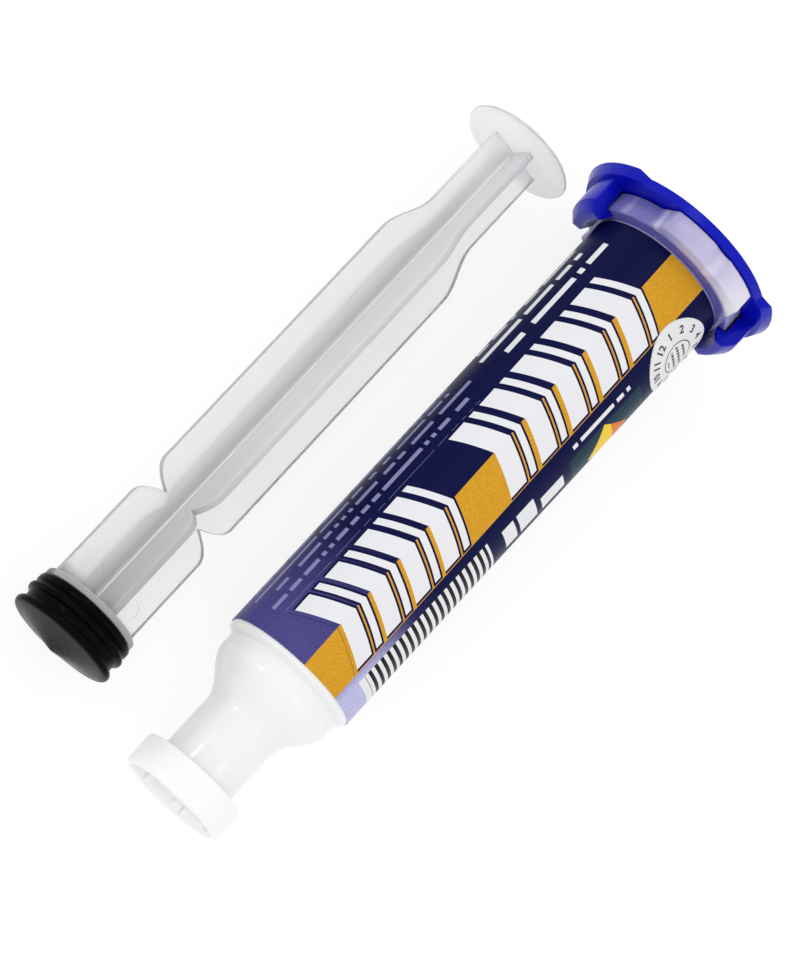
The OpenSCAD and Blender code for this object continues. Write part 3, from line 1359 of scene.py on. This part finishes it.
@dataclass
class TailCap(SubAssembly):
    """The blue cap: a disc with two finger tabs, a plug in the bore and two hooks."""

    disc_r: float = 13.15
    disc_t: float = 1.25
    tab_r: float = 14.4
    tab_slant: float = 0.7
    tab_half: float = 37.0
    tab_foot: float = 42.2
    hook_mid: float = 86.0
    hook_arc: float = 38.0
    hook_drop: float = 1.8
    hook_tip_r: float = 9.75
    foot_in_r: float = 10.7
    foot_out_r: float = 11.9
    foot_rise: float = 1.3
    leg_in_r: float = 11.1
    leg_out_r: float = 13.0
    plug_r: float = 7.27
    plug_len: float = 4.4
    well_r: float = 5.9
    well_floor: float = 1.2

    def build(self) -> None:
        """Builds the tail cap and gives it its finish."""
        start = self.sizes.disc_z()
        end = start + self.disc_t
        disc = Bench.plate(self.disc_outline(), start, end)
        slope = self.tab_slant / self.disc_t
        slant = Bench.spin([(0, start - 1), (self.tab_r - self.tab_slant - slope, start - 1),
                            (self.tab_r + slope, end + 1), (0, end + 1)], closed=False)
        Bench.combine(disc, Boolean.INTERSECT, [slant])
        Bench.round_edges(disc, Edge.SOFT)
        plug = Bench.cylinder(self.plug_r, start - self.plug_len, start + 0.5)
        parts = [self.hook(side) for side in SIDES] + [Bench.round_edges(plug, Edge.SOFT, 2)]
        Bench.combine(disc, Boolean.UNION, parts)
        well = Bench.cylinder(self.well_r, start - self.plug_len + self.well_floor, start + 5)
        Bench.combine(disc, Boolean.DIFFERENCE, [well])
        self.deliver(disc, "tail_cap_moulding", BluePlastic(), "tail_cap_plastic", ["tail_cap"])

    def disc_outline(self) -> list[Point]:
        """Returns the outline of the disc with its two finger tabs."""
        outline = []
        for side in SIDES:
            middle = self.hook_mid + side
            outline.append(around(self.disc_r, middle - self.tab_foot))
            outline += arc(self.tab_r, middle - self.tab_half, middle + self.tab_half, 20)
            outline += arc(self.disc_r, middle + self.tab_foot,
                           middle + 180 - self.tab_foot - 3, 36)
        return outline

    def hook(self, side: float) -> Piece:
        """Builds one hook: a leg beside the flange with a wedge-shaped foot under it.

        Args:
            side: Angle by which it is turned from the first one.

        Returns:
            The hook.
        """
        root = self.sizes.disc_z() + 0.4
        foot_top = self.sizes.flange_z - self.sizes.cap_gap
        low = self.sizes.flange_z - self.hook_drop
        profile = [(self.leg_in_r, root), (self.leg_in_r, foot_top),
                   (self.hook_tip_r, foot_top), (self.hook_tip_r + 0.2, foot_top - 0.5),
                   (self.foot_in_r, low), (self.foot_out_r, low),
                   (self.leg_out_r, low + self.foot_rise),
                   (self.leg_out_r + 0.1, root)]
        hook = Bench.spin(profile, turn=self.hook_arc, steps=14)
        Bench.rotate(hook, self.hook_arc / 2)
        Bench.round_edges(hook, Edge.SOFT)
        return Bench.turn(hook, self.hook_mid + side)


@dataclass
class TipCap(SubAssembly):
    """The milky cap on the lock collar, with a ribbed cup in front."""

    head_r: float = 6.95
    head_edge: float = 0.35
    cup_r: float = 6.05
    cup_depth: float = 1.4
    cup_ribs: int = 8
    rib_w: float = 1.3
    rib_in: float = 0.6
    rib_out: float = 0.4
    stem_r: float = 3.35
    stem_bore_r: float = 2.55
    stem_len: float = 5.9
    stem_floor_z: float = 3.0

    def build(self) -> None:
        """Builds the tip cap and gives it its finish."""
        cap = Bench.round_edges(Bench.spin(self.profile(), closed=False), Edge.FINE, 2, 40.0)
        ribs = Bench.join([self.rib(index) for index in range(self.cup_ribs)])
        Bench.combine(cap, Boolean.UNION, [ribs])
        self.deliver(cap, "tip_cap_moulding", MilkyPlastic("milky_tip_cap"), "tip_cap_plastic",
                     ["tip_cap"])

    def profile(self) -> list[Point]:
        """Returns the turned profile, from the floor of the cup to the bore of the stem."""
        top = self.sizes.head_len
        end = top + self.stem_len
        return [(0, self.cup_depth), (self.cup_r, self.cup_depth), (self.cup_r + 0.05, 0.12),
                (self.cup_r + 0.15, 0), (self.head_r - 0.45, 0), (self.head_r - 0.15, 0.12),
                (self.head_r - 0.05, self.head_edge), (self.head_r, top - 0.3),
                (self.head_r - 0.08, top - 0.1), (self.head_r - 0.3, top), (self.stem_r, top),
                (self.stem_r, end), (self.stem_bore_r, end), (self.stem_bore_r, self.stem_floor_z),
                (0, self.stem_floor_z)]

    def rib(self, index: int) -> Piece:
        """Builds one of the small ribs inside the cup.

        Args:
            index: Its number round the cup.

        Returns:
            The rib.
        """
        inner, outer = self.cup_r - self.rib_in, self.cup_r + self.rib_out
        half = self.rib_w / 2
        rib = Bench.plate([(inner, -half), (outer, -half), (outer, half), (inner, half)],
                          self.head_edge, self.cup_depth + 0.3)
        Bench.round_edges(rib, Edge.SOFT, 2)
        return Bench.rotate(rib, (index + 0.5) * 360 / self.cup_ribs)


@dataclass
class Plunger(SubAssembly):
    """The cross-ribbed rod with thumb disc and break-off notches, and its rubber seal."""

    rib_r: float = 6.15
    waist_r: float = 4.0
    rib_t: float = 1.0
    rib_turn: float = 11.5
    notch_depth: float = 3.1
    notch_z: float = 23.0
    notch_half: float = 3.0
    notch_power: float = 2.3
    flare_start: float = 19.5
    flare_end: float = 12.0
    seal_tip_z: float = 0.65
    cone_edge: Point = (6.1, 2.07)
    groove_z: Span = (3.25, 4.15)
    rear_rib_z: float = 4.75
    seal_len: float = 6.6
    end_disc_r: float = 6.5
    end_disc_t: float = 0.85
    end_z: float = 85.3
    pin_r: float = 3.0
    pin_z: float = 3.2
    core_inset: float = 0.03
    fillet_r: float = 0.35
    mark_r: float = 1.35
    mark_depth: float = 0.07
    mark_place: Point = (3.2, 10.4)

    def build(self) -> None:
        """Builds rod and seal and gives them their finishes."""
        self.build_rod()
        seal = Bench.spin(self.seal_profile(), closed=False)
        self.deliver(seal, "seal_moulding", SealRubber(), "seal_rubber", ["plunger_seal"], 50.0)

    def rib_ends(self) -> Span:
        """Returns where the ribs start and end, a little inside the discs."""
        return (self.seal_len + self.end_disc_t - 0.1, self.sizes.thumb_z + 0.1)

    def build_rod(self) -> None:
        """Builds the rod from two crossed plates, a filleted core and its discs."""
        rod = self.crossed_plate(self.rib_turn)
        disc = Bench.cylinder(self.end_disc_r, self.seal_len, self.seal_len + self.end_disc_t)
        parts = [self.crossed_plate(self.rib_turn + 90), self.core(),
                 Bench.round_edges(disc, Edge.SOFT),
                 Bench.cylinder(self.pin_r, self.pin_z, self.seal_len + 0.2), self.thumb_disc()]
        Bench.combine(rod, Boolean.UNION, parts)
        marks = [self.mark(self.rib_turn - 90, 1), self.mark(self.rib_turn + 90, -1)]
        Bench.combine(rod, Boolean.DIFFERENCE, marks)
        # The rod's finish paints shade, light and a highlight into its colour.
        finish = RodPlastic("milky_rod", colour=(0.985, 0.985, 0.985), clear=0.82, scatter=0.6,
                            roughness=0.4, depth=1.0, ior=1.1, rib_turn=self.rib_turn)
        piece = self.deliver(rod, "plunger_rod_moulding", finish, "rod_plastic", ["plunger_rod"])
        # The rims get a darker colour as painted edge shade.
        rim = RimPlastic("milky_rod_rim", colour=(0.5, 0.5, 0.51), clear=0.2,
                         scatter=0.3, roughness=0.24, depth=0.4)
        piece.data.materials.append(rim.make(self.axis))
        self.darken_rims(piece)

    def rib_side(self) -> list[Point]:
        """Returns half the outline of a plate: notch, straight edge and waist."""
        start, end = self.rib_ends()
        points = [(self.rib_r, start)]
        for step in range(25):
            share = step / 12 - 1
            depth = self.notch_depth * (1 - abs(share)) ** self.notch_power
            points.append((self.rib_r - depth, self.notch_z + self.notch_half * share))
        points += s_curve(self.rib_r, self.waist_r, end - self.flare_start,
                          end - self.flare_end, 18)
        return points + [(self.waist_r, end)]

    def crossed_plate(self, turn: float) -> Piece:
        """Builds a plate that holds two opposite ribs.

        Args:
            turn: Angle of one of the ribs, counted from the top.

        Returns:
            The plate.
        """
        right = self.rib_side()
        left = [(-radius, z) for radius, z in reversed(right)]
        plate = Bench.plate(right + left, -self.rib_t / 2, self.rib_t / 2)
        Bench.round_edges(plate, Edge.SOFT, 2, 50.0)
        return Bench.turn(Bench.rotate(plate, 90, "X"), turn)

    def core(self) -> Piece:
        """Builds the core with a fillet in each corner between two ribs."""
        reach = self.rib_t / 2 - self.core_inset + self.fillet_r
        outline = []
        for quarter in range(4):
            turn = Matrix.Rotation(math.radians(90 * quarter), 2)
            for step in range(9):
                angle = math.radians(270 - 90 * step / 8)
                corner = Vector((reach + self.fillet_r * math.cos(angle),
                                 reach + self.fillet_r * math.sin(angle)))
                outline.append(tuple(turn @ corner))
        return Bench.turn(Bench.plate(outline, *self.rib_ends()), self.rib_turn)

    def thumb_disc(self) -> Piece:
        """Builds the slightly crowned thumb disc."""
        radius = self.sizes.thumb_r
        low = self.sizes.thumb_z
        profile = [(0, low), (self.waist_r + 0.4, low), (radius - 0.25, low + 0.5),
                   (radius - 0.06, low + 0.57), (radius, low + 0.67), (radius, low + 0.78),
                   (radius - 0.1, low + 0.88), (radius - 0.35, low + 0.95),
                   (radius * 0.8, low + 1.01), (radius * 0.6, low + 1.06),
                   (radius * 0.3, low + 1.09), (0, self.end_z)]
        return Bench.spin(profile, closed=False)

    def mark(self, turn: float, face: int) -> Piece:
        """Builds the tool that presses a round ejector mark into a rib.

        Args:
            turn: Angle of the rib, counted from the top.
            face: Which face of the rib it is on, 1 or -1.

        Returns:
            The tool.
        """
        tool = Bench.rotate(Bench.cylinder(self.mark_r, -0.5, 0.5), 90, "X")
        outward, along = self.mark_place
        Bench.shift(tool, outward, face * (self.rib_t / 2 + 0.5 - self.mark_depth), along)
        return Bench.turn(tool, turn)

    def darken_rims(self, piece: Piece) -> None:
        """Gives the narrow rims of the ribs the finish painted with darker edge shade, but for the
        rib on top.

        Args:
            piece: The rod in its place.
        """
        start, end = self.rib_ends()
        back = self.axis.matrix().inverted()
        turn_back = back.to_3x3().normalized()
        for face in piece.data.polygons:
            centre = back @ face.center
            normal = turn_back @ face.normal
            radius = math.hypot(centre.x, centre.y)
            turn = math.degrees(math.atan2(centre.x, -centre.y))
            on_top = abs(turn - self.rib_turn) < 45
            on_rib = start + 0.2 < centre.z < end - 0.2 and radius >= 2.5
            if on_top or not on_rib:
                continue
            outward = abs(normal.x * centre.x + normal.y * centre.y) / radius
            if outward > 0.5 or abs(normal.z) > 0.5:
                face.material_index = 1

    def seal_profile(self) -> list[Point]:
        """Returns the profile of the seal, from the cone's apex round to the pin's socket."""
        rear = self.seal_len - 0.05
        tip = self.seal_tip_z
        groove = self.sizes.seal_r - 0.55
        band = self.sizes.seal_r - 0.28
        socket_r, socket_z = self.pin_r + 0.03, self.pin_z - 0.03
        profile = [(0, tip + 0.02), (0.4, tip + 0.07), (1.0, tip + 0.22), self.cone_edge]
        profile += self.bead(groove, self.sizes.seal_rib_z, 0.55, 150, 0)
        profile += [(groove - 0.03, z) for z in self.groove_z]
        profile += self.bead(groove, self.rear_rib_z, 0.5, 170, 10)
        profile += [(groove, 5.35), (groove + 0.02, 5.5), (band - 0.06, 5.62), (band, 5.72),
                    (band, rear - 0.28), (band - 0.08, rear - 0.1), (band - 0.27, rear),
                    (socket_r, rear), (socket_r, socket_z), (0, socket_z)]
        return profile

    def bead(self, radius: float, z: float, size: float, first: float,
             last: float) -> list[Point]:
        """Returns the outer half of a round rib.

        Args:
            radius: Radius of the middle of the bead.
            z: Place of the bead along the axis.
            size: Radius of the bead itself.
            first: Angle of the first point from the tail end, in degrees.
            last: Angle of the last point.

        Returns:
            The points.
        """
        points = []
        for step in range(13):
            angle = math.radians(first + (last - first) * step / 12)
            points.append((radius + size * math.sin(angle), z + size * math.cos(angle)))
        return points


@dataclass(frozen=True)
class Lamp:
    """One soft box of the studio."""

    name: str
    place: Place
    size: float
    power: float


@dataclass
class Studio:
    """The pale floor, the soft light and the camera."""

    camera_place: Place = (-0.0718682, -0.1096870, 0.3249931)
    camera_turn: Place = (0.08577295, -0.38807111, 0.75681910)
    lens: float = 108.75
    sky: float = 0.95
    floor_size: float = 4.0
    floor_z: float = -0.00002
    floor_white: float = 0.95
    glow: float = 1.05
    glow_share: float = 0.8
    lamps: tuple[Lamp, ...] = (
        Lamp("key_box", (-0.25, 0.25, 0.55), 0.16, 0.2),
        Lamp("fill_box", (0.4, -0.2, 0.5), 0.3, 0.08),
        Lamp("window_box", (-0.389, -0.165, 0.297), 0.07, 0.16),
        Lamp("strip_box", (0.235, -0.165, 0.45), 0.05, 0.07))

    def build(self) -> None:
        """Sets up floor, sky, lamps and camera."""
        self.build_floor()
        self.build_sky()
        for lamp in self.lamps:
            self.add_lamp(lamp)
        self.build_camera()
        bpy.context.scene.view_settings.view_transform = "Standard"

    def build_floor(self) -> None:
        """Lays a wide white floor that still takes the object's shadow."""
        Bench.deselect()
        bpy.ops.mesh.primitive_plane_add(size=self.floor_size, location=(0, 0, self.floor_z))
        floor = bpy.context.object
        floor.name = "floor"
        desk = Desk("studio_white")
        matte = desk.node("BsdfDiffuse", {"Color": (self.floor_white,) * 3})
        glow = desk.node("Emission", {"Color": (1.0, 1.0, 1.0), "Strength": self.glow})
        camera, glossy, through = (desk.node("LightPath", {}, f"Is {ray} Ray")
                                   for ray in ("Camera", "Glossy", "Transmission"))
        seen = desk.node("Math", {0: camera + glossy, 1: through}, operation="ADD",
                         use_clamp=True)
        mixed = desk.node("MixShader", {0: seen * self.glow_share, 1: matte, 2: glow})
        desk.feed(desk.output.inputs["Surface"], mixed)
        floor.data.materials.append(desk.material)

    def build_sky(self) -> None:
        """Surrounds the stage with an even white sky."""
        world = bpy.data.worlds.new("soft_sky")
        world.use_nodes = True
        backdrop = world.node_tree.nodes["Background"]
        backdrop.inputs["Color"].default_value = (1, 1, 1, 1)
        backdrop.inputs["Strength"].default_value = self.sky
        bpy.context.scene.world = world

    def add_lamp(self, lamp: Lamp) -> None:
        """Adds one soft box that looks at the middle of the floor.

        Args:
            lamp: The soft box.
        """
        Bench.deselect()
        bpy.ops.object.light_add(type="AREA", location=lamp.place)
        light = bpy.context.object
        light.name = lamp.name
        light.data.energy = lamp.power
        light.data.size = lamp.size
        light.rotation_euler = (-Vector(lamp.place)).to_track_quat("-Z", "Y").to_euler()

    def build_camera(self) -> None:
        """Adds the camera at the photograph's viewing angle."""
        Bench.deselect()
        bpy.ops.object.camera_add(location=self.camera_place, rotation=self.camera_turn)
        camera = bpy.context.object
        camera.name = "photo_camera"
        camera.data.lens = self.lens
        camera.data.sensor_width = 36.0
        camera.data.sensor_fit = "AUTO"
        camera.data.clip_start = 0.01
        bpy.context.scene.camera = camera


def main() -> None:
    """Builds the studio and every sub-assembly in order."""
    logging.basicConfig(level=logging.INFO, format="%(name)s %(message)s")
    sizes = Sizes()
    syringe = sizes.syringe_axis()
    Studio().build()
    Barrel(sizes, syringe, "barrel").build()
    Label(sizes, syringe, "barrel").build()
    PasteFill(sizes, syringe, "barrel").build()
    TailCap(sizes, syringe, "tail_cap").build()
    TipCap(sizes, syringe, "tip_cap").build()
    Plunger(sizes, sizes.plunger_axis(), "plunger").build()


if __name__ == "__main__":
    main()
